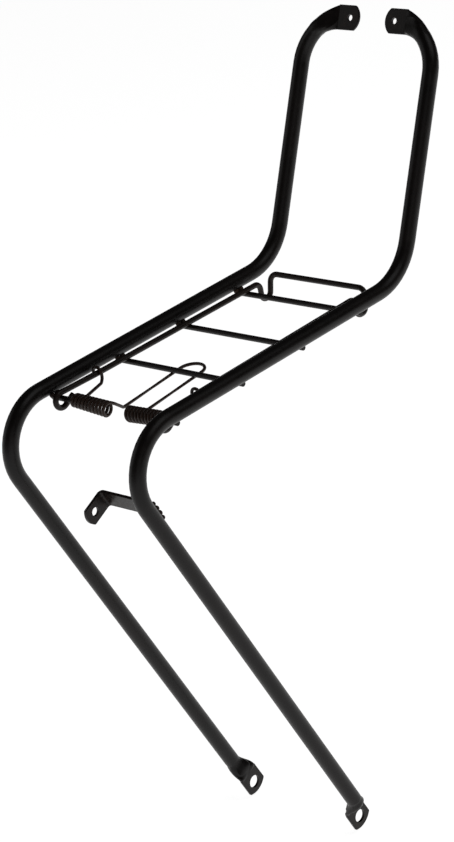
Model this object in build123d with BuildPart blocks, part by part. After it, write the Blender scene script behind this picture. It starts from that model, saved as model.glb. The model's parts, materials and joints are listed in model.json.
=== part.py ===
"""Front luggage carrier for a bicycle: two bent tubes, cross rods, a sprung wire clamp, a lamp bracket.

Frame: +Z up, +Y towards the rider, +X to the side that carries the lamp bracket.
Origin: midway between the two axle holes at the foot of the legs. Millimetres.
"""
from build123d import *
from math import ceil, cos, radians, sin, tan
import os

# ---------------------------------------------------------------- driving dimensions
# Frame tubes
TUBE_R = 7.0
TUBE_WALL = 1.5
TRACK = 144.0  # tube centre to tube centre
DECK_Z = 450.0  # centre line of the level run, above the axle
FRONT_BEND_Y = -210.0  # where the leg and the level run meet
DECK_RUN = 363.0  # from the front bend corner to the rear bend corner
UPRIGHT_ANGLE = 64.5  # above the level
UPRIGHT_LENGTH = 215.0  # rear bend corner to the line of the top holes
FRONT_BEND_R = 43.0
REAR_BEND_R = 52.0
TOP_BEND_R = 42.0

# Flattened tube ends: the foot plates take the axle, the head plates a bolt
PLATE_T = 2.6
PLATE_EDGE_R = 0.6
FOOT_WIDTH = 22.0
FOOT_INSET = 9.5  # the foot plate lies this far inside the tube's centre line
FOOT_HOLE_R = 6.0
FOOT_HOLE_TO_CORNER = 6.9
FOOT_HOLE_TO_END = 10.9
FOOT_PRESS_TOP = 30.0  # above the axle hole: the tube is still round
FOOT_PRESS_BOTTOM = 12.0  # above the axle hole: the tube is flat
HEAD_WIDTH = 21.7
HEAD_SET_BACK = 2.0  # the head plate lies this far behind the upright's plane
HEAD_HOLE_X = 24.6
HEAD_HOLE_R = 2.8
HEAD_HOLE_TO_CORNER = 4.6
HEAD_HOLE_TO_END = 10.1
HEAD_FLAT_X = 36.9
HEAD_PRESS_START = 42.0  # degrees round the top bend: the tube is still round

# Cross rods and pivot stubs
ROD_R = 2.5
ROD_HALF_LENGTH = 70.8
ROD_PITCH = 75.0
MIDDLE_ROD_Y = 23.0
PIVOT_Y = -130.0
STUB_INNER_X = 28.0
WELD_X = 68.0
WELD_BEAD_R = 2.4
WELD_BEAD_OFFSET = 0.4  # from the rod's side to the bead's centre
WELD_BEAD_SINK = 0.2  # the bead's centre above the tube's underside
BEAD_TURN = (20, 35, 0)  # a bead's poles point clear of the pieces that it joins

# Sprung clamp
CLAMP_R = 2.5
CLAMP_LIFT = 0.4  # clearance between the closed clamp and what it rests on
CLAMP_SHIFT_X = -1.05  # the clamp has slid this far along its pivot stubs
CLAMP_FRONT_X = 58.6
CLAMP_KNEE_X = 56.45
CLAMP_KNEE_Y = -86.0
CLAMP_KNEE_R = 120.0
CLAMP_REAR_X = 53.9
EYE_R = 6.4
EYE_LEAD = 1.3  # the eye's centre lies this far in front of the pivot axis
EYE_WRAP = 209.0
EYE_TAIL = 11.3  # straight end of the wire beyond the eye's curve
DIP_FRONT_Y = 111.5
DIP_REAR_Y = 122.3
DIP_DEPTH = 16.4
DIP_TOP_R = 6.0
DIP_R = 5.3
HANDLE_Y = 127.0
HANDLE_RISE = 2.8
HANDLE_CORNER_R = 7.5

# Spring: one wire with two coils, a tongue between them and a hooked leg outside each
WIRE_R = 1.4
COIL_R = 5.0
COIL_TURNS = 9.63
LEFT_COIL_INNER_X = -7.0
LEFT_COIL_PITCH = 3.92
LEFT_COIL_SAG = 3.2
LEFT_COIL_RISE = -1.15  # inner end of the coil's axis, above the stub's axis
RIGHT_COIL_INNER_X = 17.8
RIGHT_COIL_PITCH = 3.6
RIGHT_COIL_SAG = 3.0
RIGHT_COIL_RISE = -1.0
COIL_LEAVE_ANGLE = 52.0  # where the tongue's lead leaves the coil, above the level towards +Y
TONGUE_FRONT = (-9.0, -112.0, 433.0)
TONGUE_LIMB = 70.7
TONGUE_WIDTH = 23.7
TONGUE_SKEW = -1.6
TONGUE_CLIMB = 4.0
HOOK_R = 5.1
LEFT_HOOK_Y = -89.0
RIGHT_HOOK_Y = -91.5
HOOK_OUTSET = 0.6
HOOK_RISE = 0.45
HOOK_WRAP = 275.0
HOOK_LEG_RUN = 4.5  # from the leg's top corner back to the ring
HOOK_LEG_INSET = 7.0
HOOK_LEG_DROP = 6.15  # the leg's top corner, below the clamp wire's centre line
HOOK_RING_DROP = 3.65  # where the ring starts, below the clamp wire's centre line
LEG_BENDS = (30.0, 4.0, 3.0)  # along a hooked leg, from the coil to the ring
LEG_LEAD = 5.0  # straight wire where a hooked leg leaves the coil
TONGUE_LEAD = 3.5  # straight wire where the tongue leaves the coil
TONGUE_BENDS = (12.0, 3.5)

# Lamp bracket
BRACKET_T = 2.6
BRACKET_WIDTH = 16.5
BRACKET_DOWN_LEG = 77.7
BRACKET_OUTER_X = 71.0
BRACKET_TAB_X = 14.0  # the tab's face towards +X
BRACKET_BEND_R = 2.0
BRACKET_HOLE_R = 3.7
BRACKET_HOLE_REACH = 13.7  # from the strip's front face to the lamp hole
BRACKET_CORNER_REACH = 20.3
BRACKET_END_REACH = 23.7
BRACKET_WELD_R = (2.2, 2.6, 2.6, 2.2)
BRACKET_WELD_SHARES = (-0.5, -0.17, 0.17, 0.5)  # of the bracket's width, down the leg
BRACKET_WELD_SINK = 0.6

# ---------------------------------------------------------------- derived places
TUBE_X = TRACK / 2
ROD_Z = DECK_Z - TUBE_R - ROD_R
CLAMP_Z = ROD_Z + ROD_R + CLAMP_R + CLAMP_LIFT

front_corner = Vector(TUBE_X, FRONT_BEND_Y, DECK_Z)
rear_corner = Vector(TUBE_X, FRONT_BEND_Y + DECK_RUN, DECK_Z)
foot_centre = Vector(TUBE_X, 0, 0)
leg_down = (foot_centre - front_corner).normalized()
leg_back = Vector(0, -leg_down.Z, leg_down.Y)
upright_up = Vector(0, cos(radians(UPRIGHT_ANGLE)), sin(radians(UPRIGHT_ANGLE)))
upright_back = Vector(0, upright_up.Z, -upright_up.Y)
inward = Vector(-1, 0, 0)
top_bend_centre = rear_corner + upright_up * (UPRIGHT_LENGTH - TOP_BEND_R) + inward * TOP_BEND_R


# ---------------------------------------------------------------- helpers
def bent_line(points, radii):
    """Straight runs through the points, each inner point rounded by a tangent arc."""
    start = Vector(points[0])
    for corner, after, radius in zip(points[1:-1], points[2:], radii):
        corner = Vector(corner)
        arriving = (corner - start).normalized()
        leaving = (Vector(after) - corner).normalized()
        half_turn = radians(arriving.get_angle(leaving)) / 2
        reach = radius * tan(half_turn)
        to_centre = (leaving - arriving).normalized()
        arc_end = corner + leaving * reach
        Line(start, corner - arriving * reach)
        ThreePointArc(
            corner - arriving * reach,
            corner + to_centre * (radius / cos(half_turn) - radius),
            arc_end,
        )
        start = arc_end
    Line(start, points[-1])


def pressed_outline(half_width, half_thick, flatness, lean=0.0):
    """Closed outline between a round tube (flatness 0) and a flat bar with rounded edges (1).

    With lean the side towards +Y stays narrower, as where only the far wall has been pressed out.
    """
    edge_bulge = 0.8
    round_share = cos(radians(45))
    corner_x = half_width * round_share + flatness * (half_width * (1 - round_share) - edge_bulge)
    corner_y = half_thick * (round_share + flatness * (1 - round_share))
    narrow_x = corner_x * (1 - lean)
    side_y = -half_thick * lean
    ThreePointArc((narrow_x, corner_y), (half_width, side_y), (corner_x, -corner_y))
    ThreePointArc((-corner_x, -corner_y), (-half_width, side_y), (-narrow_x, corner_y))
    if flatness < 1:
        ThreePointArc((-narrow_x, corner_y), (0, half_thick), (narrow_x, corner_y))
        ThreePointArc((corner_x, -corner_y), (0, -half_thick), (-corner_x, -corner_y))
    else:
        Line((-narrow_x, corner_y), (narrow_x, corner_y))
        Line((corner_x, -corner_y), (-corner_x, -corner_y))


def end_plate(plane, width, run, to_corner, to_end, hole_r):
    """Flat end of a tube or strip: a hole at the plane's origin, a bowed end towards its X."""
    with BuildPart() as plate:
        with BuildSketch(plane) as outline:
            with BuildLine():
                Polyline(
                    (to_corner, -width / 2), (-run, -width / 2), (-run, width / 2), (to_corner, width / 2)
                )
                ThreePointArc((to_corner, width / 2), (to_end, 0), (to_corner, -width / 2))
            make_face()
            fillet(outline.vertices().sort_by(Axis.X)[-2:], 1.5)
        extrude(amount=PLATE_T / 2, both=True)
        side_faces = plate.faces().filter_by(Axis(plane.origin, plane.z_dir))
        fillet(side_faces.edges(), PLATE_EDGE_R)
        with BuildSketch(plane):
            Circle(hole_r)
        extrude(amount=PLATE_T, both=True, mode=Mode.SUBTRACT)
    return plate.part


# ---------------------------------------------------------------- frame tubes
def top_bend_plane(angle, set_back):
    """Plane across the tube, this many degrees round the top bend; X is the way it widens."""
    radial = inward * -cos(radians(angle)) + upright_up * sin(radians(angle))
    onward = inward * sin(radians(angle)) + upright_up * cos(radians(angle))
    return Plane(
        origin=top_bend_centre + radial * TOP_BEND_R + upright_back * set_back,
        x_dir=radial,
        z_dir=onward,
    )


def foot_plane(above_hole, outer, inner):
    """Plane across the leg; the tube's faces there lie at outer and inner from its centre line."""
    return Plane(
        origin=foot_centre - leg_down * above_hole + inward * -(outer + inner) / 2,
        x_dir=leg_back,
        z_dir=leg_down,
    )


# Height above the axle hole, outer face, inner face, half width, flatness, lean
foot_plate_outer = PLATE_T / 2 - FOOT_INSET
foot_plate_inner = -PLATE_T / 2 - FOOT_INSET
foot_press = [
    (FOOT_PRESS_TOP, TUBE_R, -TUBE_R, TUBE_R, 0.0, 0.0),
    (25.0, TUBE_R - 0.1, -8.4, 7.5, 0.15, 0.1),
    (20.5, 4.2, -10.2, 9.2, 0.45, 0.35),
    (16.0, -6.0, foot_plate_inner, 10.7, 0.9, 0.2),
    (FOOT_PRESS_BOTTOM, foot_plate_outer, foot_plate_inner, FOOT_WIDTH / 2, 1.0, 0.0),
]
# Degrees round the top bend, half width, half thickness, flatness, set back
head_press = [
    (HEAD_PRESS_START, TUBE_R, TUBE_R, 0.0, 0.0),
    (55.0, 7.6, 6.4, 0.15, 0.2),
    (67.0, 9.0, 4.2, 0.5, 1.0),
]

with BuildPart() as frame_tube_right:
    with BuildLine() as tube_route:
        bent_line(
            [
                foot_centre - leg_down * FOOT_PRESS_TOP,
                front_corner,
                rear_corner,
                top_bend_plane(0, 0).origin,
            ],
            [FRONT_BEND_R, REAR_BEND_R],
        )
        ThreePointArc(
            top_bend_plane(0, 0).origin,
            top_bend_plane(HEAD_PRESS_START / 2, 0).origin,
            top_bend_plane(HEAD_PRESS_START, 0).origin,
        )
    with BuildSketch(Plane(origin=tube_route.wire() @ 0, z_dir=tube_route.wire() % 0)):
        Circle(TUBE_R)
        Circle(TUBE_R - TUBE_WALL, mode=Mode.SUBTRACT)
    sweep(path=tube_route.wire())

    # Foot: pressed flat and set in, so that the plate lies inside the tube's line
    for above_hole, outer, inner, half_width, flatness, lean in foot_press:
        with BuildSketch(foot_plane(above_hole, outer, inner)):
            with BuildLine():
                pressed_outline(half_width, (outer - inner) / 2, flatness, lean)
            make_face()
    loft()
    for above_hole, outer, inner, half_width, flatness, lean in foot_press[:-1]:
        cavity_wall = min(TUBE_WALL, (outer - inner) / 2 - 0.4)
        with BuildSketch(foot_plane(above_hole, outer, inner)):
            with BuildLine():
                pressed_outline(half_width - TUBE_WALL, (outer - inner) / 2 - cavity_wall, flatness, lean)
            make_face()
    loft(mode=Mode.SUBTRACT)
    add(
        end_plate(
            Plane(origin=foot_centre + inward * FOOT_INSET, x_dir=leg_down, z_dir=-inward),
            FOOT_WIDTH,
            FOOT_PRESS_BOTTOM + 1,
            FOOT_HOLE_TO_CORNER,
            FOOT_HOLE_TO_END,
            FOOT_HOLE_R,
        )
    )

    # Head: pressed flat in the upright's plane towards the end of the bend
    head_hole = top_bend_plane(90, HEAD_SET_BACK).origin
    head_hole = Vector(HEAD_HOLE_X, head_hole.Y, head_hole.Z)
    head_flat_start = Vector(HEAD_FLAT_X, head_hole.Y, head_hole.Z)
    for angle, half_width, half_thick, flatness, set_back in head_press:
        with BuildSketch(top_bend_plane(angle, set_back)):
            with BuildLine():
                pressed_outline(half_width, half_thick, flatness)
            make_face()
    with BuildSketch(Plane(origin=head_flat_start, x_dir=upright_up, z_dir=inward)):
        with BuildLine():
            pressed_outline(HEAD_WIDTH / 2, PLATE_T / 2, 1.0)
        make_face()
    loft()
    for angle, half_width, half_thick, flatness, set_back in head_press:
        with BuildSketch(top_bend_plane(angle, set_back)):
            with BuildLine():
                pressed_outline(half_width - TUBE_WALL, half_thick - TUBE_WALL, flatness)
            make_face()
    loft(mode=Mode.SUBTRACT)
    add(
        end_plate(
            Plane(origin=head_hole, x_dir=inward, z_dir=upright_back),
            HEAD_WIDTH,
            HEAD_FLAT_X - HEAD_HOLE_X + 1,
            HEAD_HOLE_TO_CORNER,
            HEAD_HOLE_TO_END,
            HEAD_HOLE_R,
        )
    )
frame_tube_right.part.label = "frame_tube_right"

with BuildPart() as frame_tube_left:
    mirror(frame_tube_right.part, about=Plane.YZ)
frame_tube_left.part.label = "frame_tube_left"

written = [frame_tube_right.part, frame_tube_left.part]


# ---------------------------------------------------------------- cross rods and pivot stubs
def round_bar(start, end, radius):
    """Straight round bar with broken edges."""
    start = Vector(start)
    along = Vector(end) - start
    with BuildPart() as bar:
        with BuildSketch(Plane(origin=start, z_dir=along)):
            Circle(radius)
        extrude(amount=along.length)
        chamfer(bar.edges().filter_by(GeomType.CIRCLE), 0.4)
    return bar.part


rod_rows = {
    "front": MIDDLE_ROD_Y - ROD_PITCH,
    "middle": MIDDLE_ROD_Y,
    "rear": MIDDLE_ROD_Y + ROD_PITCH,
}
for row, rod_y in rod_rows.items():
    with BuildPart() as cross_rod:
        add(round_bar((-ROD_HALF_LENGTH, rod_y, ROD_Z), (ROD_HALF_LENGTH, rod_y, ROD_Z), ROD_R))
        add(frame_tube_right.part, mode=Mode.SUBTRACT)
        add(frame_tube_left.part, mode=Mode.SUBTRACT)
    cross_rod.part.label = f"cross_rod_{row}"
    written.append(cross_rod.part)

sides = ((1, "right"), (-1, "left"))
for side, side_name in sides:
    with BuildPart() as pivot_stub:
        add(
            round_bar(
                (side * STUB_INNER_X, PIVOT_Y, ROD_Z), (side * ROD_HALF_LENGTH, PIVOT_Y, ROD_Z), ROD_R
            )
        )
        add(frame_tube_right.part, mode=Mode.SUBTRACT)
        add(frame_tube_left.part, mode=Mode.SUBTRACT)
    pivot_stub.part.label = f"pivot_stub_{side_name}"
    written.append(pivot_stub.part)

# ---------------------------------------------------------------- sprung clamp
handle_z = CLAMP_Z + HANDLE_RISE
dip_z = CLAMP_Z - DIP_DEPTH
eye_end = 90 + EYE_WRAP
clamp_corners = [
    (CLAMP_KNEE_X, CLAMP_KNEE_Y, CLAMP_Z),
    (CLAMP_REAR_X, DIP_FRONT_Y, CLAMP_Z),
    (CLAMP_REAR_X, DIP_FRONT_Y, dip_z),
    (CLAMP_REAR_X, DIP_REAR_Y, dip_z),
    (CLAMP_REAR_X, HANDLE_Y, handle_z),
]
clamp_bends = [CLAMP_KNEE_R, DIP_TOP_R, DIP_R, DIP_R, HANDLE_CORNER_R]


def side_wire_point(side, x, y, z):
    """Point of the clamp, given for the right side (1) and mirrored for the left (-1)."""
    return Vector(side * x + CLAMP_SHIFT_X, y, z)


def side_wire_way(side):
    """Direction in which a side wire leaves its eye."""
    knee = side_wire_point(side, CLAMP_KNEE_X, CLAMP_KNEE_Y, 0)
    return (knee - side_wire_point(side, CLAMP_FRONT_X, PIVOT_Y, 0)).normalized()


def eye_point(side, angle):
    """Point on an eye's centre line; 90 degrees is its top, where the side wire leaves."""
    centre = side_wire_point(side, CLAMP_FRONT_X, PIVOT_Y - EYE_LEAD, CLAMP_Z - EYE_R)
    turned = side_wire_way(side) * cos(radians(angle)) + Vector(0, 0, sin(radians(angle)))
    return centre + turned * EYE_R


def eye_tail_end(side):
    """Cut end of the wire, beyond the eye's curve."""
    onward = side_wire_way(side) * -sin(radians(eye_end)) + Vector(0, 0, cos(radians(eye_end)))
    return eye_point(side, eye_end) + onward * EYE_TAIL


with BuildPart() as clamp_bail:
    with BuildLine() as bail_route:
        for side in (1, -1):
            Line(eye_tail_end(side), eye_point(side, eye_end))
            ThreePointArc(
                eye_point(side, eye_end), eye_point(side, 90 + EYE_WRAP / 2), eye_point(side, 90)
            )
        right_run = [eye_point(1, 90)] + [side_wire_point(1, *corner) for corner in clamp_corners]
        left_run = [eye_point(-1, 90)] + [side_wire_point(-1, *corner) for corner in clamp_corners]
        bent_line(right_run + left_run[::-1], clamp_bends + clamp_bends[::-1])
    bail_wire = bail_route.wire()
    with BuildSketch(Plane(origin=bail_wire @ 0, z_dir=bail_wire % 0)):
        Circle(CLAMP_R)
    sweep(path=bail_wire)
clamp_bail.part.label = "clamp_bail"
written.append(clamp_bail.part)

# ---------------------------------------------------------------- spring
def coil_plane(side, inner_x, rise, sag):
    """Plane across a coil at its inner end; Z runs outwards, X to where the tongue's lead leaves."""
    outward = Vector(side * cos(radians(sag)), 0, sin(radians(sag)))
    upward = Vector(-side * sin(radians(sag)), 0, cos(radians(sag)))
    leave = radians(COIL_LEAVE_ANGLE)
    return Plane(
        origin=(inner_x, PIVOT_Y, ROD_Z + rise),
        x_dir=Vector(0, cos(leave), 0) + upward * sin(leave),
        z_dir=outward,
    )


def coil(side, inner_x, pitch, rise, sag):
    """Centre line of one coil, turn by turn from its inner end outwards."""
    across = coil_plane(side, inner_x, rise, sag)
    with BuildLine() as turns:
        for turn in range(ceil(COIL_TURNS)):
            height = pitch * min(1, COIL_TURNS - turn)
            add(
                across.offset(pitch * turn).location
                * Helix(pitch, height, COIL_R, lefthand=side < 0, mode=Mode.PRIVATE)
            )
    return turns.wire()


def side_wire_x(side, y):
    """Where the clamp's side wire runs, near the spring's hooks."""
    share = (y - PIVOT_Y) / (CLAMP_KNEE_Y - PIVOT_Y)
    return side * (CLAMP_FRONT_X + (CLAMP_KNEE_X - CLAMP_FRONT_X) * share) + CLAMP_SHIFT_X


def hook_leg(side, hook_y, coil_end, coil_way):
    """Corners of a hooked leg, from the coil's outer end to the start of the hook's ring."""
    leg_x = side_wire_x(side, hook_y) - side * HOOK_LEG_INSET
    ring_start = hook_ring_point(side, hook_y, 0)
    return [
        coil_end,
        coil_end + coil_way * LEG_LEAD,
        Vector(leg_x, hook_y - HOOK_LEG_RUN, CLAMP_Z - HOOK_LEG_DROP),
        Vector(ring_start.X, hook_y, CLAMP_Z - HOOK_RING_DROP),
        ring_start,
    ]


def hook_ring_point(side, hook_y, angle):
    """Point on the ring of a hook, which wraps round the clamp's side wire from inside to outside."""
    return Vector(
        side_wire_x(side, hook_y) + side * (HOOK_OUTSET - HOOK_R * cos(radians(angle))),
        hook_y,
        CLAMP_Z + HOOK_RISE + HOOK_R * sin(radians(angle)),
    )


left_coil = coil(-1, LEFT_COIL_INNER_X, LEFT_COIL_PITCH, LEFT_COIL_RISE, LEFT_COIL_SAG)
right_coil = coil(1, RIGHT_COIL_INNER_X, RIGHT_COIL_PITCH, RIGHT_COIL_RISE, RIGHT_COIL_SAG)

tongue_back = Vector(TONGUE_SKEW, TONGUE_LIMB, TONGUE_CLIMB).normalized()
tongue_across = tongue_back.cross(Vector(0, 0, 1)).normalized()
tongue_left = Vector(*TONGUE_FRONT)
tongue_right = tongue_left + tongue_across * TONGUE_WIDTH

with BuildPart() as clamp_spring:
    with BuildLine() as spring_route:
        for side, hook_y, turns in ((-1, LEFT_HOOK_Y, left_coil), (1, RIGHT_HOOK_Y, right_coil)):
            ThreePointArc(*(hook_ring_point(side, hook_y, HOOK_WRAP * share) for share in (1, 0.5, 0)))
            bent_line(hook_leg(side, hook_y, turns @ 1, turns % 1), LEG_BENDS)
            add(turns)
        for turns, corner in ((left_coil, tongue_left), (right_coil, tongue_right)):
            lead_end = turns @ 0 - turns % 0 * TONGUE_LEAD
            bent_line([turns @ 0, lead_end, corner, corner + tongue_back * TONGUE_LIMB], TONGUE_BENDS)
        ThreePointArc(
            tongue_left + tongue_back * TONGUE_LIMB,
            tongue_left + tongue_back * (TONGUE_LIMB + TONGUE_WIDTH / 2) + tongue_across * TONGUE_WIDTH / 2,
            tongue_right + tongue_back * TONGUE_LIMB,
        )
    spring_wire = spring_route.wire()
    with BuildSketch(Plane(origin=spring_wire @ 0, z_dir=spring_wire % 0)):
        Circle(WIRE_R)
    sweep(path=spring_wire)
clamp_spring.part.label = "clamp_spring"
written.append(clamp_spring.part)

# ---------------------------------------------------------------- lamp bracket
bracket_middle = front_corner + leg_down * BRACKET_DOWN_LEG + inward * TUBE_X
strip_front = bracket_middle + leg_back * TUBE_R
tab_face_x = BRACKET_TAB_X - BRACKET_T
with BuildPart() as lamp_bracket:
    # Edge-on outline of the bent strip: local X runs outwards, local Y forwards
    with BuildSketch(Plane(origin=strip_front - leg_down * BRACKET_WIDTH / 2, x_dir=-inward, z_dir=leg_down)):
        with BuildLine():
            Polyline(
                (BRACKET_TAB_X, BRACKET_END_REACH),
                (tab_face_x, BRACKET_END_REACH),
                (tab_face_x, -BRACKET_T),
                (BRACKET_OUTER_X, -BRACKET_T),
                (BRACKET_OUTER_X, 0),
                (BRACKET_TAB_X, 0),
                close=True,
            )
        make_face()
    extrude(amount=BRACKET_WIDTH)
    bend_edges = lamp_bracket.edges().filter_by(Axis(strip_front, leg_down))
    inner_bend = bend_edges.sort_by_distance(strip_front - inward * BRACKET_TAB_X)[0]
    outer_bend = bend_edges.sort_by_distance(strip_front - inward * tab_face_x + leg_back * BRACKET_T)[0]
    fillet(inner_bend, BRACKET_BEND_R)
    fillet(outer_bend, BRACKET_BEND_R + BRACKET_T)
    # Bowed end of the tab, and the lamp hole
    tab_plane = Plane(
        origin=strip_front - leg_back * BRACKET_HOLE_REACH - inward * (tab_face_x + BRACKET_T / 2),
        x_dir=-leg_back,
        z_dir=-inward,
    )
    corner = BRACKET_CORNER_REACH - BRACKET_HOLE_REACH
    bow = BRACKET_END_REACH - BRACKET_HOLE_REACH
    with BuildSketch(tab_plane):
        with BuildLine():
            ThreePointArc((corner, -BRACKET_WIDTH / 2), (bow, 0), (corner, BRACKET_WIDTH / 2))
            Polyline(
                (corner, BRACKET_WIDTH / 2),
                (bow + 1, BRACKET_WIDTH / 2),
                (bow + 1, -BRACKET_WIDTH / 2),
                (corner, -BRACKET_WIDTH / 2),
            )
        make_face()
        Circle(BRACKET_HOLE_R)
    extrude(amount=BRACKET_T, both=True, mode=Mode.SUBTRACT)
lamp_bracket.part.label = "lamp_bracket"
written.append(lamp_bracket.part)


# ---------------------------------------------------------------- welds
def weld_row(label, centres, radii, neighbours):
    """Separate blobs of weld, each shaped by the pieces that it joins."""
    beads = []
    for centre, radius in zip(centres, radii):
        with BuildPart() as bead:
            with Locations(centre):
                Sphere(radius, rotation=BEAD_TURN)
            for neighbour in neighbours:
                add(neighbour, mode=Mode.SUBTRACT)
        beads.append(bead.part.solids().sort_by(SortBy.VOLUME)[-1])
    return Compound(children=beads, label=label)


def rod_welds(label, rod_y, sides):
    """Beads in front of and behind a rod where it meets the underside of the tubes."""
    crevice = ROD_R + WELD_BEAD_OFFSET
    spots = [
        Vector(side * WELD_X, rod_y + fore_aft * crevice, DECK_Z - TUBE_R + WELD_BEAD_SINK)
        for side in sides
        for fore_aft in (-1, 1)
    ]
    rod_core = round_bar((-TUBE_X, rod_y, ROD_Z), (TUBE_X, rod_y, ROD_Z), ROD_R)
    return weld_row(label, spots, [WELD_BEAD_R] * len(spots), [rod_core, *deck_cores])


deck_cores = [
    round_bar((side * TUBE_X, FRONT_BEND_Y, DECK_Z), (side * TUBE_X, rear_corner.Y, DECK_Z), TUBE_R)
    for side in (1, -1)
]
for row, rod_y in rod_rows.items():
    written.append(rod_welds(f"cross_rod_{row}_welds", rod_y, (1, -1)))
for side, side_name in sides:
    written.append(rod_welds(f"pivot_stub_{side_name}_welds", PIVOT_Y, (side,)))

bracket_weld_line = front_corner + leg_down * BRACKET_DOWN_LEG + leg_back * (TUBE_R + BRACKET_WELD_SINK)
bracket_spots = [bracket_weld_line + leg_down * BRACKET_WIDTH * share for share in BRACKET_WELD_SHARES]
leg_core = round_bar(front_corner, foot_centre, TUBE_R)
written.append(
    weld_row("lamp_bracket_welds", bracket_spots, BRACKET_WELD_R, [lamp_bracket.part, leg_core])
)

# ---------------------------------------------------------------- export
os.makedirs("parts", exist_ok=True)
for piece in written:
    export_step(piece, f"parts/{piece.label}.step")
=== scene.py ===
"""Looks for a front bicycle carrier: enamels, a wound clamp spring, floor and light.

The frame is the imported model's: +Z up, +Y towards the rider, +X to the side with the lamp
bracket. Lengths are in metres, and in millimetres in SpringHalf and ClampSpring.
"""

import json
import logging
import math
from dataclasses import dataclass, field
from enum import Enum

import bmesh
import bpy
from mathutils import Matrix, Vector


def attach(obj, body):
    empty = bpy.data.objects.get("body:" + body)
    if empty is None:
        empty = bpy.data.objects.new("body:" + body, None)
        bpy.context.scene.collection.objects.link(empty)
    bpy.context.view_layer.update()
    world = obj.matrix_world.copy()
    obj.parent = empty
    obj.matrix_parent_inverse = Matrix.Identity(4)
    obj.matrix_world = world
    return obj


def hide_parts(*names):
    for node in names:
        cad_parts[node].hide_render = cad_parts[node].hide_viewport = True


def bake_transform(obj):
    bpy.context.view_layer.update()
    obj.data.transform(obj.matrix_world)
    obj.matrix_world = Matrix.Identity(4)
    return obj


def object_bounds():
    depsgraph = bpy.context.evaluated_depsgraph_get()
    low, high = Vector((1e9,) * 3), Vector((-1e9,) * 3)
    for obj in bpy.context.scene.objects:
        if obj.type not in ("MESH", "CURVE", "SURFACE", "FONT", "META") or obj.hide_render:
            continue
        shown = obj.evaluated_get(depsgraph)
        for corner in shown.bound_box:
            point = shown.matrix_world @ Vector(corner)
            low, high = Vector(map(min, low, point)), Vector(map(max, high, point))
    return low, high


LOG = logging.getLogger("carrier")
MM = 0.001

Colour = tuple[float, float, float]

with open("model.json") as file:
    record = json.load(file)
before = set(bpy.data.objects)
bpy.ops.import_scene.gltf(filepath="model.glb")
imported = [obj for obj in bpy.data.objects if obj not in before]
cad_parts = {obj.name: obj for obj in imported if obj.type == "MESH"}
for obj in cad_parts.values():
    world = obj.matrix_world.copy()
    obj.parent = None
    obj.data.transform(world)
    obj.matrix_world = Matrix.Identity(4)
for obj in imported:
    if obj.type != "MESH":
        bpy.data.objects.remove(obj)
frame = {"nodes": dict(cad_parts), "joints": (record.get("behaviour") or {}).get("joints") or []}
cad_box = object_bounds()


class Body(Enum):
    """Rigid bodies of the carrier."""

    CARRIER = "carrier"
    CLAMP = "clamp"


class Slot(Enum):
    """Material slot of the pieces that are built here."""

    WIRE = "wire_paint"


class Side(Enum):
    """Sides of the carrier, by the sign of X."""

    RIGHT = 1
    LEFT = -1


# ---------------------------------------------------------------- shader groups
@dataclass(frozen=True)
class Grain:
    """Noise in object coordinates, and the band of it that is stretched to a mask."""

    scale: float  # per metre
    detail: float
    roughness: float
    band: tuple[float, float] = (0.0, 1.0)


BROAD_GRAIN = Grain(9.0, 3.0, 0.5)
FINE_GRAIN = Grain(160.0, 5.0, 0.6)
PEEL_GRAIN = Grain(900.0, 2.0, 0.5)
GRIT_GRAIN = Grain(2300.0, 2.0, 0.5, (0.66, 0.74))
RUB_GRAIN = Grain(420.0, 6.0, 0.65, (0.48, 0.66))
SCUFF_GRAIN = Grain(22.0, 2.0, 0.5, (0.50, 0.62))

SHARP_EDGE = (0.53, 0.62)  # band of Pointiness that counts as an edge
BROAD_TONE = 0.6
FINE_TONE = 0.4
BROAD_GLOSS = 0.3
FINE_GLOSS = 0.7
GRIT_HEIGHT = 0.8
SCRATCH_STRETCH = (700.0, 26.0, 150.0)
SCRATCH_TILT = (0.35, 0.12, 0.2)
SCRATCH_DETAIL = 3.0
SCRATCH_BAND = (0.665, 0.70)


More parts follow.
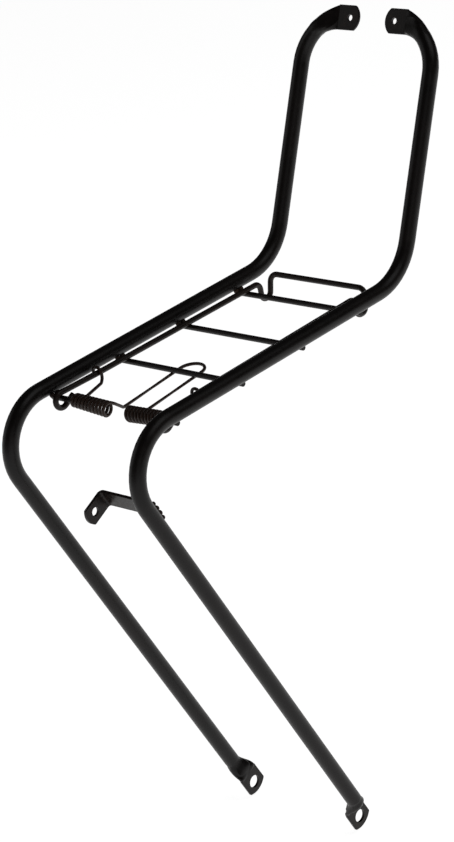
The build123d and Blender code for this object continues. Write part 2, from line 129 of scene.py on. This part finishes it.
class GroupMaker:
    """Builds one shader node group with named sockets."""

    def __init__(self, name: str) -> None:
        """Starts an empty group.

        Args:
            name: Name of the group.
        """
        self.tree = bpy.data.node_groups.new(name, "ShaderNodeTree")
        self.inputs = self.tree.nodes.new("NodeGroupInput")
        self.outputs = self.tree.nodes.new("NodeGroupOutput")

    def takes(self, name: str, kind: str, value: object = None) -> None:
        """Adds an input socket.

        Args:
            name: Socket name.
            kind: "Float" or "Color" or "Vector".
            value: Default value.
        """
        socket = self.tree.interface.new_socket(
            name, in_out="INPUT", socket_type=f"NodeSocket{kind}"
        )
        if value is not None:
            socket.default_value = value

    def gives(self, name: str, kind: str) -> None:
        """Adds an output socket.

        Args:
            name: Socket name.
            kind: "Float" or "Color" or "Vector".
        """
        self.tree.interface.new_socket(
            name, in_out="OUTPUT", socket_type=f"NodeSocket{kind}"
        )

    def node(self, kind: str, **settings: object) -> bpy.types.Node:
        """Adds a node and sets its properties.

        Args:
            kind: Node type without the ShaderNode prefix.
            settings: Properties to set on the node.

        Returns:
            The new node.
        """
        made = self.tree.nodes.new(f"ShaderNode{kind}")
        for key, value in settings.items():
            setattr(made, key, value)
        return made

    def link(self, source: bpy.types.NodeSocket, target: bpy.types.NodeSocket) -> None:
        """Joins two sockets."""
        self.tree.links.new(source, target)

    def ramp(
        self, source: bpy.types.NodeSocket, low: float, high: float
    ) -> bpy.types.NodeSocket:
        """Stretches a value so that low becomes 0 and high becomes 1.

        Args:
            source: Socket with the value.
            low: Value that becomes 0.
            high: Value that becomes 1.

        Returns:
            Socket with the stretched value.
        """
        stretch = self.node("MapRange", clamp=True)
        stretch.inputs["From Min"].default_value = low
        stretch.inputs["From Max"].default_value = high
        self.link(source, stretch.inputs["Value"])
        return stretch.outputs["Result"]

    def math(self, operation: str, *values: object) -> bpy.types.NodeSocket:
        """Adds a Math node.

        Args:
            operation: Its operation, such as MULTIPLY.
            values: Sockets or numbers.

        Returns:
            Its output socket.
        """
        made = self.node("Math", operation=operation, use_clamp=False)
        for slot_number, value in enumerate(values):
            if isinstance(value, bpy.types.NodeSocket):
                self.link(value, made.inputs[slot_number])
            else:
                made.inputs[slot_number].default_value = value
        return made.outputs[0]

    def noise(self, grain: Grain) -> bpy.types.NodeSocket:
        """Adds noise in object coordinates.

        Args:
            grain: Its scale, detail and roughness.

        Returns:
            Socket with the noise value.
        """
        place = self.node("TexCoord")
        made = self.node("TexNoise")
        made.inputs["Scale"].default_value = grain.scale
        made.inputs["Detail"].default_value = grain.detail
        made.inputs["Roughness"].default_value = grain.roughness
        self.link(place.outputs["Object"], made.inputs["Vector"])
        return made.outputs["Fac"]

    def mask(self, grain: Grain) -> bpy.types.NodeSocket:
        """Adds noise and stretches its band.

        Args:
            grain: The noise and its band.

        Returns:
            Socket with the mask.
        """
        return self.ramp(self.noise(grain), *grain.band)


def edge_wear_group() -> bpy.types.NodeTree:
    """Builds the group that finds worn edges.

    Returns:
        Group whose Wear is 1 where paint is rubbed off convex edges.
    """
    maker = GroupMaker("edge wear")
    maker.takes("Amount", "Float", 0.5)
    maker.gives("Wear", "Float")
    geometry = maker.node("NewGeometry")
    edges = maker.ramp(geometry.outputs["Pointiness"], *SHARP_EDGE)
    rubbed = maker.math("MULTIPLY", edges, maker.mask(RUB_GRAIN))
    wear = maker.math("MULTIPLY", rubbed, maker.inputs.outputs["Amount"])
    maker.link(wear, maker.outputs.inputs["Wear"])
    return maker.tree


def enamel_group() -> bpy.types.NodeTree:
    """Builds the group for dipped enamel: orange peel, dust and uneven gloss.

    Returns:
        Group with Tone, Gloss and Height.
    """
    maker = GroupMaker("enamel skin")
    for name in ("Tone", "Gloss", "Height"):
        maker.gives(name, "Float")
    broad = maker.noise(BROAD_GRAIN)
    fine = maker.noise(FINE_GRAIN)
    peel = maker.noise(PEEL_GRAIN)
    grit = maker.mask(GRIT_GRAIN)
    broad_tone = maker.math("MULTIPLY", broad, BROAD_TONE)
    tone = maker.math("ADD", broad_tone, maker.math("MULTIPLY", fine, FINE_TONE))
    maker.link(tone, maker.outputs.inputs["Tone"])
    fine_gloss = maker.math("MULTIPLY", fine, FINE_GLOSS)
    gloss = maker.math("ADD", fine_gloss, maker.math("MULTIPLY", broad, BROAD_GLOSS))
    maker.link(gloss, maker.outputs.inputs["Gloss"])
    height = maker.math("ADD", peel, maker.math("MULTIPLY", grit, GRIT_HEIGHT))
    maker.link(height, maker.outputs.inputs["Height"])
    return maker.tree


def scratch_group() -> bpy.types.NodeTree:
    """Builds the group for fine scratches along the carrier.

    Returns:
        Group whose Scratch is 1 on a scratch.
    """
    maker = GroupMaker("fine scratches")
    maker.gives("Scratch", "Float")
    place = maker.node("TexCoord")
    stretch = maker.node("Mapping")
    stretch.inputs["Scale"].default_value = SCRATCH_STRETCH
    stretch.inputs["Rotation"].default_value = SCRATCH_TILT
    maker.link(place.outputs["Object"], stretch.inputs["Vector"])
    streaks = maker.node("TexNoise")
    streaks.inputs["Scale"].default_value = 1.0
    streaks.inputs["Detail"].default_value = SCRATCH_DETAIL
    maker.link(stretch.outputs["Vector"], streaks.inputs["Vector"])
    lines = maker.ramp(streaks.outputs["Fac"], *SCRATCH_BAND)
    scratched = maker.math("MULTIPLY", lines, maker.mask(SCUFF_GRAIN))
    maker.link(scratched, maker.outputs.inputs["Scratch"])
    return maker.tree


@dataclass
class Effects:
    """Shader groups that the finishes share."""

    wear: bpy.types.NodeTree = field(default_factory=edge_wear_group)
    skin: bpy.types.NodeTree = field(default_factory=enamel_group)
    scratches: bpy.types.NodeTree = field(default_factory=scratch_group)


SCUFF_SHARE = 0.6  # how far a scratch lightens the paint
TONE_BAND = (0.35, 0.65)
GLOSS_BAND = (0.3, 0.7)
WORN_ROUGHNESS = 0.25  # added where the paint is rubbed off
PEEL_DEPTH = 0.0002
PAINT_IOR = 1.45
COAT_ROUGHNESS = 0.28
MIX_BASE, MIX_OVER, MIX_COLOUR = 6, 7, 2  # the Mix node's colour sockets


@dataclass(frozen=True)
class Paint:
    """Black paint over steel, with a thin brown undertone where it is worn."""

    name: str
    dark: Colour
    light: Colour
    under: Colour
    rough_low: float
    rough_high: float
    coat: float
    wear: float
    bump: float
    shine: float = 0.22

    def make(self, effects: Effects) -> bpy.types.Material:
        """Builds the material.

        Args:
            effects: Shared shader groups.

        Returns:
            The finished material.
        """
        material = bpy.data.materials.new(self.name)
        material.use_nodes = True
        tree = material.node_tree
        shader = tree.nodes["Principled BSDF"]
        groups = {}
        shared = (("wear", effects.wear), ("skin", effects.skin), ("scratch", effects.scratches))
        for key, tree_used in shared:
            groups[key] = tree.nodes.new("ShaderNodeGroup")
            groups[key].node_tree = tree_used
        groups["wear"].inputs["Amount"].default_value = self.wear

        tone = self._mix(tree, groups["skin"].outputs["Tone"], self.dark, self.light)
        scratch = groups["scratch"].outputs["Scratch"]
        scuffed = self._mix_socket(tree, scratch, tone, self.light, SCUFF_SHARE)
        worn = self._mix_socket(tree, groups["wear"].outputs["Wear"], scuffed, self.under, 1.0)
        tree.links.new(worn, shader.inputs["Base Color"])

        rough = tree.nodes.new("ShaderNodeMapRange")
        rough.inputs["From Min"].default_value = GLOSS_BAND[0]
        rough.inputs["From Max"].default_value = GLOSS_BAND[1]
        rough.inputs["To Min"].default_value = self.rough_low
        rough.inputs["To Max"].default_value = self.rough_high
        tree.links.new(groups["skin"].outputs["Gloss"], rough.inputs["Value"])
        rougher = tree.nodes.new("ShaderNodeMath")
        rougher.operation = "MULTIPLY_ADD"
        rougher.inputs[1].default_value = WORN_ROUGHNESS
        tree.links.new(groups["wear"].outputs["Wear"], rougher.inputs[0])
        tree.links.new(rough.outputs["Result"], rougher.inputs[2])
        tree.links.new(rougher.outputs[0], shader.inputs["Roughness"])

        bump = tree.nodes.new("ShaderNodeBump")
        bump.inputs["Strength"].default_value = self.bump
        bump.inputs["Distance"].default_value = PEEL_DEPTH
        tree.links.new(groups["skin"].outputs["Height"], bump.inputs["Height"])
        tree.links.new(bump.outputs["Normal"], shader.inputs["Normal"])
        shader.inputs["Metallic"].default_value = 0.0
        shader.inputs["IOR"].default_value = PAINT_IOR
        shader.inputs["Specular IOR Level"].default_value = self.shine
        shader.inputs["Coat Weight"].default_value = self.coat
        shader.inputs["Coat Roughness"].default_value = COAT_ROUGHNESS
        return material

    @staticmethod
    def _mix(
        tree: bpy.types.NodeTree,
        factor: bpy.types.NodeSocket,
        low: Colour,
        high: Colour,
    ) -> bpy.types.NodeSocket:
        """Ramps between two colours.

        Args:
            tree: Material's node tree.
            factor: Socket with the value.
            low: Colour at the low end.
            high: Colour at the high end.

        Returns:
            Socket with the colour.
        """
        ramp = tree.nodes.new("ShaderNodeValToRGB")
        ramp.color_ramp.elements[0].position = TONE_BAND[0]
        ramp.color_ramp.elements[0].color = (*low, 1)
        ramp.color_ramp.elements[1].position = TONE_BAND[1]
        ramp.color_ramp.elements[1].color = (*high, 1)
        tree.links.new(factor, ramp.inputs["Fac"])
        return ramp.outputs["Color"]

    @staticmethod
    def _mix_socket(
        tree: bpy.types.NodeTree,
        factor: bpy.types.NodeSocket,
        base: bpy.types.NodeSocket,
        over: Colour,
        share: float,
    ) -> bpy.types.NodeSocket:
        """Lays a colour over another where a mask says so.

        Args:
            tree: Material's node tree.
            factor: Socket with the mask.
            base: Socket with the colour below.
            over: Colour above.
            share: How much of the mask counts.

        Returns:
            Socket with the colour.
        """
        weaker = tree.nodes.new("ShaderNodeMath")
        weaker.operation = "MULTIPLY"
        weaker.inputs[1].default_value = share
        tree.links.new(factor, weaker.inputs[0])
        mix = tree.nodes.new("ShaderNodeMix")
        mix.data_type = "RGBA"
        tree.links.new(weaker.outputs[0], mix.inputs["Factor"])
        tree.links.new(base, mix.inputs[MIX_BASE])
        mix.inputs[MIX_OVER].default_value = (*over, 1)
        return mix.outputs[MIX_COLOUR]


FRAME_ENAMEL = Paint(
    name="frame enamel",
    dark=(0.0022, 0.0014, 0.0012),
    light=(0.0058, 0.0038, 0.0033),
    under=(0.05, 0.03, 0.022),
    rough_low=0.32,
    rough_high=0.44,
    coat=0.04,
    wear=0.5,
    bump=0.14,
)
WIRE_ENAMEL = Paint(
    name="wire enamel",
    dark=(0.0055, 0.0032, 0.0024),
    light=(0.015, 0.0085, 0.006),
    under=(0.08, 0.045, 0.03),
    rough_low=0.32,
    rough_high=0.48,
    coat=0.05,
    wear=0.7,
    bump=0.18,
)
SPRING_ENAMEL = Paint(
    name="spring enamel",
    dark=(0.011, 0.0055, 0.0036),
    light=(0.030, 0.0150, 0.0095),
    under=(0.10, 0.055, 0.035),
    rough_low=0.30,
    rough_high=0.44,
    coat=0.05,
    wear=0.8,
    bump=0.15,
)
WELD_ENAMEL = Paint(
    name="weld enamel",
    dark=(0.007, 0.0038, 0.0025),
    light=(0.035, 0.017, 0.010),
    under=(0.12, 0.065, 0.04),
    rough_low=0.40,
    rough_high=0.60,
    coat=0.04,
    wear=0.9,
    bump=0.4,
)


# ---------------------------------------------------------------- meshes
ARC_STEP = 6  # degrees between the points of an arc
FEWEST_ARC_STEPS = 3
CLOSEST_POINTS = 0.06  # on a wire's centre line, in wire radii
END_GIRTH = 0.8  # of a wire's broken edge


def link_mesh(
    name: str, shape: bmesh.types.BMesh, material: bpy.types.Material
) -> bpy.types.Object:
    """Makes an object of a mesh under construction.

    Args:
        name: Name of the piece.
        shape: Mesh under construction, which is freed.
        material: Its material.

    Returns:
        The new object.
    """
    bmesh.ops.recalc_face_normals(shape, faces=shape.faces)
    mesh = bpy.data.meshes.new(name)
    shape.to_mesh(mesh)
    shape.free()
    mesh.shade_smooth()
    mesh.materials.append(material)
    piece = bpy.data.objects.new(name, mesh)
    bpy.context.scene.collection.objects.link(piece)
    return piece


def dress(node: str, material: bpy.types.Material) -> None:
    """Gives a CAD node a material.

    Args:
        node: Name of the node.
        material: Material for all its slots.
    """
    mesh = frame["nodes"][node].data
    mesh.materials.clear()
    mesh.materials.append(material)
    LOG.info("dressed %s with %s", node, material.name)


def rounded_route(corners: list[Vector], radii: list[float]) -> list[Vector]:
    """Points along straight runs with a round arc at each inner corner.

    Args:
        corners: Corners of the route.
        radii: Radius at each inner corner.

    Returns:
        Points from the first corner to the last.
    """
    points = [corners[0].copy()]
    for before, corner, after, radius in zip(corners, corners[1:], corners[2:], radii):
        arriving = (corner - before).normalized()
        leaving = (after - corner).normalized()
        turn = arriving.angle(leaving)
        reach = radius * math.tan(turn / 2)
        centre = corner + (leaving - arriving).normalized() * (radius / math.cos(turn / 2))
        spoke = corner - arriving * reach - centre
        axis = arriving.cross(leaving).normalized()
        steps = max(FEWEST_ARC_STEPS, int(math.degrees(turn) / ARC_STEP))
        for step in range(steps + 1):
            points.append(centre + Matrix.Rotation(turn * step / steps, 3, axis) @ spoke)
    points.append(corners[-1].copy())
    return points


def wire_mesh(points: list[Vector], radius: float, sides: int = 16) -> bmesh.types.BMesh:
    """Round wire along a line of points, closed at both ends with a broken edge.

    Args:
        points: Centre line.
        radius: Radius of the wire.
        sides: Points round the wire.

    Returns:
        The wire's mesh.
    """
    clean = [points[0]]
    for point in points[1:]:
        if (point - clean[-1]).length > radius * CLOSEST_POINTS:
            clean.append(point)
    ways = []
    for number, point in enumerate(clean):
        before = clean[max(number - 1, 0)]
        after = clean[min(number + 1, len(clean) - 1)]
        ways.append((after - before).normalized())
    shape = bmesh.new()
    normal = ways[0].orthogonal().normalized()
    rings = []
    previous = ways[0]
    for number, (point, way) in enumerate(zip(clean, ways)):
        normal = previous.rotation_difference(way) @ normal
        normal = (normal - way * normal.dot(way)).normalized()
        across = way.cross(normal)
        previous = way
        last = number in (0, len(clean) - 1)
        girth = radius * (END_GIRTH if last else 1.0)
        ring = []
        for k in range(sides):
            angle = 2 * math.pi * k / sides
            spoke = normal * math.cos(angle) + across * math.sin(angle)
            ring.append(shape.verts.new(point + spoke * girth))
        rings.append(ring)
    for here, there in zip(rings, rings[1:]):
        for k in range(sides):
            shape.faces.new((here[k], here[(k + 1) % sides], there[(k + 1) % sides], there[k]))
    shape.faces.new(rings[0])
    shape.faces.new(rings[-1])
    return shape


def middle(points: list[Vector]) -> Vector:
    """Returns the middle of the box round some points."""
    low = Vector([min(p[k] for p in points) for k in range(3)])
    high = Vector([max(p[k] for p in points) for k in range(3)])
    return (low + high) / 2


# ---------------------------------------------------------------- sub-assemblies
@dataclass
class PaintedNodes:
    """CAD nodes that keep their own mesh and share one paint."""

    nodes: tuple[str, ...] = ()

    def dress(self, enamel: bpy.types.Material) -> None:
        """Paints the nodes."""
        for node in self.nodes:
            dress(node, enamel)


@dataclass
class TubeFrame(PaintedNodes):
    """The two bent tubes with the rods, stubs and bracket welded to them."""

    nodes: tuple[str, ...] = (
        "frame_tube_right",
        "frame_tube_left",
        "cross_rod_front",
        "cross_rod_middle",
        "cross_rod_rear",
        "pivot_stub_right",
        "pivot_stub_left",
        "lamp_bracket",
    )


@dataclass
class WeldBeads(PaintedNodes):
    """Blobs of weld beside the rods and the bracket."""

    nodes: tuple[str, ...] = (
        "cross_rod_front_welds",
        "cross_rod_middle_welds",
        "cross_rod_rear_welds",
        "pivot_stub_right_welds",
        "pivot_stub_left_welds",
        "lamp_bracket_welds",
    )


@dataclass
class ClampBail(PaintedNodes):
    """The bent wire that presses luggage onto the deck."""

    nodes: tuple[str, ...] = ("clamp_bail",)


@dataclass
class SpringHalf:
    """One wound half of the clamp spring: coil, hooked leg and the lead to the tongue.

    Lengths are in millimetres and angles in degrees.
    """

    side: Side
    inner_x: float
    pitch: float
    sag: float
    rise: float
    hook_y: float
    flare_in: float = 5.35
    flare_out: float = 4.75
    turns: float = 9.63
    leave_angle: float = 52.0
    hook_r: float = 4.6
    hook_outset: float = 0.35
    hook_rise: float = 0.45
    hook_wrap: float = 240.0
    leg_inset: float = 7.0
    leg_drop: float = 6.15
    leg_run: float = 4.5
    ring_drop: float = 3.65
    leg_lead: float = 5.0
    leg_bends: tuple[float, float, float] = (30.0, 4.0, 3.0)
    lead: float = 3.5
    lead_bends: tuple[float, float] = (3.5, 12.0)
    steps_per_turn: int = 40
    ring_steps: int = 39
    near_x: float = 45.0  # the side wires lie further out than this
    near_y: float = 60.0  # and are looked for this far in front of and behind the hook
    above_stub: float = 2.5
    row_depth: float = 0.6

    def pivot(self) -> Vector:
        """Returns the hinge's place in millimetres."""
        joint = frame["joints"][0]
        return Vector(joint["pos_m"]) / MM

    def coil(self) -> list[Vector]:
        """Returns the coil's centre line, from its inner end outwards."""
        side = self.side.value
        sag = math.radians(self.sag)
        outward = Vector((side * math.cos(sag), 0, math.sin(sag)))
        upward = Vector((-side * math.sin(sag), 0, math.cos(sag)))
        leave = math.radians(self.leave_angle)
        first = Vector((0, math.cos(leave), 0)) + upward * math.sin(leave)
        second = outward.cross(first) * side
        pivot = self.pivot()
        centre = Vector((self.inner_x, pivot.y, pivot.z + self.rise))
        points = []
        count = int(self.turns * self.steps_per_turn)
        for step in range(count + 1):
            turn = self.turns * step / count
            radius = self.flare_in + (self.flare_out - self.flare_in) * step / count
            angle = 2 * math.pi * turn
            spoke = first * math.cos(angle) + second * math.sin(angle)
            points.append(centre + outward * self.pitch * turn + spoke * radius)
        return points

    def side_wire(self) -> Vector:
        """Returns the centre of the clamp's side wire at the hook, from the clamp's mesh."""
        near = [
            v.co / MM
            for v in frame["nodes"]["clamp_bail"].data.vertices
            if v.co.x * self.side.value > self.near_x * MM
            and abs(v.co.y / MM - self.hook_y) < self.near_y
        ]
        rear = [v for v in near if v.y > self.hook_y]
        lowest = self.pivot().z + self.above_stub
        front = [v for v in near if v.y < self.hook_y and v.z > lowest]
        back_row = min(v.y for v in rear)
        front_row = max(v.y for v in front)
        rear_mid = middle([v for v in rear if v.y < back_row + self.row_depth])
        front_mid = middle([v for v in front if v.y > front_row - self.row_depth])
        share = (self.hook_y - front_mid.y) / (rear_mid.y - front_mid.y)
        return front_mid.lerp(rear_mid, share)

    def route(self, tongue_corner: Vector, tongue_middle: Vector) -> list[Vector]:
        """Centre line of the half spring.

        Args:
            tongue_corner: Front corner of the tongue.
            tongue_middle: Where this half ends, on the tongue's limb.

        Returns:
            Points from the tongue to the hook's cut end.
        """
        side = self.side.value
        coil = self.coil()
        inner_way = (coil[0] - coil[1]).normalized()
        outer_way = (coil[-1] - coil[-2]).normalized()
        wire = self.side_wire()
        ring_x = wire.x + side * (self.hook_outset - self.hook_r)
        ring_z = wire.z + self.hook_rise
        lead = rounded_route(
            [tongue_middle, tongue_corner, coil[0] + inner_way * self.lead, coil[0]],
            list(self.lead_bends),
        )
        leg_x = wire.x - side * self.leg_inset
        leg = rounded_route(
            [
                coil[-1],
                coil[-1] + outer_way * self.leg_lead,
                Vector((leg_x, self.hook_y - self.leg_run, wire.z - self.leg_drop)),
                Vector((ring_x, self.hook_y, wire.z - self.ring_drop)),
                Vector((ring_x, self.hook_y, ring_z)),
            ],
            list(self.leg_bends),
        )
        ring = []
        for step in range(1, self.ring_steps + 1):
            angle = math.radians(self.hook_wrap * step / self.ring_steps)
            reach = self.hook_outset - self.hook_r * math.cos(angle)
            height = ring_z + self.hook_r * math.sin(angle)
            ring.append(Vector((wire.x + side * reach, self.hook_y, height)))
        return lead + coil[1:] + leg[1:] + ring


@dataclass
class ClampSpring:
    """The spring between deck and clamp, in two wound halves and the tongue's end loop.

    Lengths are in millimetres.
    """

    node: str = "clamp_spring"
    wire_r: float = 1.4
    tongue_front: tuple[float, float, float] = (-9.0, -112.0, 433.0)
    tongue_limb: float = 70.7
    tongue_width: float = 23.7
    tongue_skew: float = -1.6
    tongue_climb: float = 4.0
    tongue_join: float = 0.5  # where the halves meet the loop, as a share of the limb
    loop_steps: int = 32
    halves: tuple[SpringHalf, ...] = (
        SpringHalf(Side.LEFT, -6.2, 4.0, 3.2, -1.15, -89.0, flare_in=5.7, flare_out=4.85),
        SpringHalf(Side.RIGHT, 17.0, 3.68, 3.0, -1.0, -91.5, flare_in=5.6, flare_out=5.2),
    )

    def build(self, enamel: bpy.types.Material) -> None:
        """Winds the spring and ties its tongue to the carrier.

        Args:
            enamel: Paint of the wire.
        """
        back = Vector((self.tongue_skew, self.tongue_limb, self.tongue_climb)).normalized()
        across = back.cross(Vector((0, 0, 1))).normalized()
        left = Vector(self.tongue_front)
        right = left + across * self.tongue_width
        corners = {Side.LEFT: left, Side.RIGHT: right}
        for half in self.halves:
            corner = corners[half.side]
            points = half.route(corner, corner + back * self.tongue_limb * self.tongue_join)
            piece = link_mesh(
                f"spring_half_{half.side.name.lower()}",
                wire_mesh([p * MM for p in points], self.wire_r * MM),
                enamel,
            )
            pivot = half.pivot()
            coil = half.coil()
            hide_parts(self.node)
            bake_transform(piece)
            LOG.info("wound %s", piece.name)
        tongue = link_mesh(
            "spring_tongue",
            wire_mesh([p * MM for p in self.end_loop(left, back, across)], self.wire_r * MM),
            enamel,
        )
        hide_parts(self.node)
        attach(tongue, Body.CARRIER.value)
        LOG.info("bent %s", tongue.name)

    def end_loop(self, left: Vector, back: Vector, across: Vector) -> list[Vector]:
        """Centre line of the tongue's end loop, with the rear part of both limbs.

        Args:
            left: Left front corner of the tongue.
            back: Direction of the limbs.
            across: Direction from the left limb to the right one.

        Returns:
            Points from the left half's end to the right half's.
        """
        right = left + across * self.tongue_width
        limb = [
            left + back * self.tongue_limb * self.tongue_join,
            left + back * self.tongue_limb,
        ]
        middle_of_loop = left + back * self.tongue_limb + across * self.tongue_width / 2
        loop = []
        for step in range(1, self.loop_steps):
            angle = math.pi * step / self.loop_steps
            loop.append(
                middle_of_loop
                - across * math.cos(angle) * self.tongue_width / 2
                + back * math.sin(angle) * self.tongue_width / 2
            )
        tail = [
            right + back * self.tongue_limb,
            right + back * self.tongue_limb * self.tongue_join,
        ]
        return limb + loop + tail


# ---------------------------------------------------------------- studio
@dataclass(frozen=True)
class SoftLight:
    """Square area light: its place, edge length and power in watts."""

    name: str
    place: tuple[float, float, float]
    size: float
    power: float


@dataclass
class Studio:
    """Pale floor, soft lights and the camera."""

    camera_place: tuple[float, float, float] = (1.5234, -1.4719, 1.2876)
    camera_right: tuple[float, float, float] = (0.733, 0.659, -0.168)
    camera_up: tuple[float, float, float] = (-0.154, 0.402, 0.903)
    camera_back: tuple[float, float, float] = (0.663, -0.636, 0.396)
    aim: tuple[float, float, float] = (0, -0.03, 0.40)
    lights: tuple[SoftLight, ...] = (
        SoftLight("key light", (1.4, 0.6, 2.6), 1.8, 12),
        SoftLight("front fill", (2.2, -2.4, 0.9), 2.2, 6),
        SoftLight("left fill", (-2.4, -1.4, 1.4), 2.0, 8),
    )
    lens: float = 117.7
    sensor: float = 36.0
    floor_size: float = 14.0
    floor_drop: float = 0.004
    air: float = 0.05
    floor_glow: float = 0.9
    floor_grain: float = 60.0
    floor_tones: tuple[float, float] = (0.86, 0.90)
    floor_roughness: float = 0.9
    floor_shine: float = 0.1

    def floor(self) -> None:
        """Lays a pale floor that glows softly, as paper lit from below."""
        shape = bmesh.new()
        low = cad_box[0][2] - self.floor_drop
        reach = self.floor_size / 2
        corners = ((-reach, -reach), (reach, -reach), (reach, reach), (-reach, reach))
        shape.faces.new([shape.verts.new((x, y, low)) for x, y in corners])
        paper = bpy.data.materials.new("pale paper")
        paper.use_nodes = True
        tree = paper.node_tree
        shader = tree.nodes["Principled BSDF"]
        grain = tree.nodes.new("ShaderNodeTexNoise")
        grain.inputs["Scale"].default_value = self.floor_grain
        tone = tree.nodes.new("ShaderNodeMapRange")
        tone.inputs["To Min"].default_value = self.floor_tones[0]
        tone.inputs["To Max"].default_value = self.floor_tones[1]
        tree.links.new(grain.outputs["Fac"], tone.inputs["Value"])
        tree.links.new(tone.outputs["Result"], shader.inputs["Base Color"])
        shader.inputs["Roughness"].default_value = self.floor_roughness
        shader.inputs["Specular IOR Level"].default_value = self.floor_shine
        shader.inputs["Emission Color"].default_value = (1, 1, 1, 1)
        shader.inputs["Emission Strength"].default_value = self.floor_glow
        floor = link_mesh("studio_floor", shape, paper)

    def light(self, soft: SoftLight) -> None:
        """Adds a soft area light, pointed at the aim.

        Args:
            soft: The light.
        """
        place = Vector(soft.place)
        data = bpy.data.lights.new(soft.name, "AREA")
        data.shape = "SQUARE"
        data.size = soft.size
        data.energy = soft.power
        lamp = bpy.data.objects.new(soft.name, data)
        lamp.location = place
        lamp.rotation_euler = (Vector(self.aim) - place).to_track_quat("-Z", "Y").to_euler()
        bpy.context.scene.collection.objects.link(lamp)

    def set_up(self) -> None:
        """Builds floor, lights, world and camera."""
        self.floor()
        for soft in self.lights:
            self.light(soft)
        world = bpy.data.worlds.new("studio air")
        world.use_nodes = True
        tree = world.node_tree
        background = tree.nodes["Background"]
        background.inputs["Color"].default_value = (1, 1, 1, 1)
        strength = tree.nodes.new("ShaderNodeMapRange")
        strength.inputs["To Min"].default_value = self.air
        strength.inputs["To Max"].default_value = 1.0
        sight = tree.nodes.new("ShaderNodeLightPath")
        tree.links.new(sight.outputs["Is Camera Ray"], strength.inputs["Value"])
        tree.links.new(strength.outputs["Result"], background.inputs["Strength"])
        bpy.context.scene.world = world
        bpy.context.scene.view_settings.view_transform = "Standard"
        lens = bpy.data.cameras.new("camera")
        lens.lens = self.lens
        lens.sensor_width = self.sensor
        camera = bpy.data.objects.new("camera", lens)
        axes = Matrix((self.camera_right, self.camera_up, self.camera_back))
        turned = axes.transposed().to_4x4()
        camera.matrix_world = Matrix.Translation(Vector(self.camera_place)) @ turned
        bpy.context.scene.collection.objects.link(camera)
        bpy.context.scene.camera = camera


def main() -> None:
    """Builds and dresses every sub-assembly."""
    logging.basicConfig(level=logging.INFO, format="%(name)s: %(message)s")
    effects = Effects()
    TubeFrame().dress(FRAME_ENAMEL.make(effects))
    WeldBeads().dress(WELD_ENAMEL.make(effects))
    ClampBail().dress(WIRE_ENAMEL.make(effects))
    ClampSpring().build(SPRING_ENAMEL.make(effects))
    Studio().set_up()


if __name__ == "__main__":
    main()
